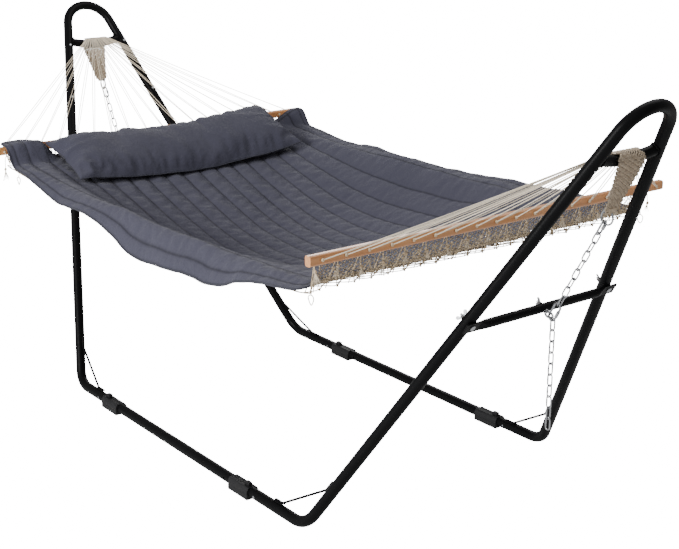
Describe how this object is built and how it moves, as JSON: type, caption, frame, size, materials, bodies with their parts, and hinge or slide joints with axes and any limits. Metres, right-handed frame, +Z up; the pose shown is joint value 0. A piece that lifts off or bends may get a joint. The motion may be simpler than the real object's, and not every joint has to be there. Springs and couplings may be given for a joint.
{
  "type": "hammock on stand",
  "caption": "Quilted spreader-bar rope hammock with a pillow, hung by chains between the raised ends of a free-standing steel tube stand.",
  "frame": {"origin": "on the ground at the centre of the stand's footprint", "axes": "+Z up, +X lengthwise from the pillow end towards the foot end, +Y across"},
  "size_m": [3.1076, 1.4, 1.3822],
  "materials": {
    "black_powder_coat": "satin black powder coat",
    "black_plastic": "moulded black plastic",
    "zinc": "bright zinc plate",
    "stained_wood": "orange-brown varnish",
    "cotton_rope": "natural cotton rope",
    "slate_quilt": "quilted slate blue-grey polyester",
    "slate_pillow": "slate blue-grey polyester",
    "slate_webbing": "dark woven tape"
  },
  "bodies": {
    "stand": {"base_tube_left": "black_powder_coat", "base_tube_right": "black_powder_coat", "corner_tube_near_left": "black_powder_coat", "corner_tube_near_right": "black_powder_coat", "corner_tube_far_left": "black_powder_coat", "corner_tube_far_right": "black_powder_coat", "upright_near_left": "black_powder_coat", "upright_near_right": "black_powder_coat", "upright_far_left": "black_powder_coat", "upright_far_right": "black_powder_coat", "hoop_near": "black_powder_coat", "hoop_far": "black_powder_coat", "saddle_near": "black_powder_coat", "saddle_far": "black_powder_coat", "brace_rod_near_left": "black_powder_coat", "brace_rod_near_right": "black_powder_coat", "brace_rod_far_left": "black_powder_coat", "brace_rod_far_right": "black_powder_coat", "foot_clip_near_left": "black_plastic", "foot_clip_near_right": "black_plastic", "foot_clip_far_left": "black_plastic", "foot_clip_far_right": "black_plastic", "crossbar_near": "black_powder_coat", "crossbar_far": "black_powder_coat", "crossbar_bolts_near": "zinc", "crossbar_bolts_far": "zinc", "wing_nuts_near": "zinc", "wing_nuts_far": "zinc", "eye_bolt_near": "zinc", "eye_bolt_far": "zinc", "tube_screws": "zinc", "hook_link_near": "zinc", "hook_link_far": "zinc", "loaded_chain_near": "zinc", "loaded_chain_far": "zinc", "quick_link_near": "zinc", "quick_link_far": "zinc", "ring_near": "zinc", "ring_far": "zinc", "throat_near": "cotton_rope", "throat_far": "cotton_rope"},
    "bed": {"spreader_bar_near": "stained_wood", "spreader_bar_far": "stained_wood", "clew_ropes_near": "cotton_rope", "clew_ropes_far": "cotton_rope", "rope_net": "cotton_rope", "net_corner_loops": "cotton_rope", "quilted_pad": "slate_quilt", "pillow_ties": "slate_webbing"},
    "pillow": {"pillow": "slate_pillow"},
    "tail_near": {"chain_tail_near": "zinc"},
    "tail_far": {"chain_tail_far": "zinc"}
  },
  "joints": [
    {"name": "bed_swing", "type": "hinge", "parent": "stand", "child": "bed", "pos_m": [0, 0, 1.23], "axis": [1, 0, 0], "range_deg": [-12, 12]},
    {"name": "pillow_flip", "type": "hinge", "parent": "bed", "child": "pillow", "pos_m": [-0.952, 0, 0.94], "axis": [0, -1, 0], "range_deg": [0, 60]},
    {"name": "tail_near_swing", "type": "hinge", "parent": "stand", "child": "tail_near", "pos_m": [1.2235, 0, 0.7101], "axis": [1, 0, 0], "range_deg": [-30, 30]},
    {"name": "tail_far_swing", "type": "hinge", "parent": "stand", "child": "tail_far", "pos_m": [-1.2235, 0, 0.7101], "axis": [1, 0, 0], "range_deg": [-30, 30]}
  ]
}
